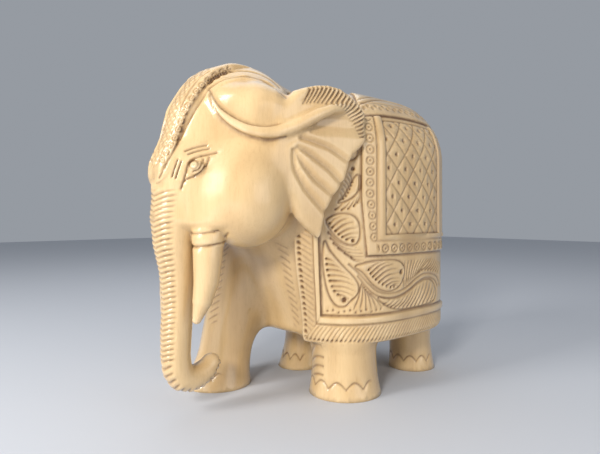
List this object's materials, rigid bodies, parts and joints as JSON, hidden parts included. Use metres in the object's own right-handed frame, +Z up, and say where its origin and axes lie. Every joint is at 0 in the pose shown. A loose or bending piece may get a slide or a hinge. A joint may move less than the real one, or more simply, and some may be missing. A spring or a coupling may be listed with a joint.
{
  "type": "wooden elephant figurine",
  "caption": "Carved wooden elephant standing in a draped blanket, with curled trunk, tusks and headdress, kept as a shelf ornament.",
  "frame": {"origin": "centre of the figure's box on the ground plane under the soles", "axes": "+Z up, the elephant faces -Y, its left side is +X"},
  "size_m": [0.0946, 0.1632, 0.152],
  "materials": {
    "pale_wood": "satin"
  },
  "bodies": {
    "root": {"elephant": "pale_wood"}
  },
  "joints": []
}
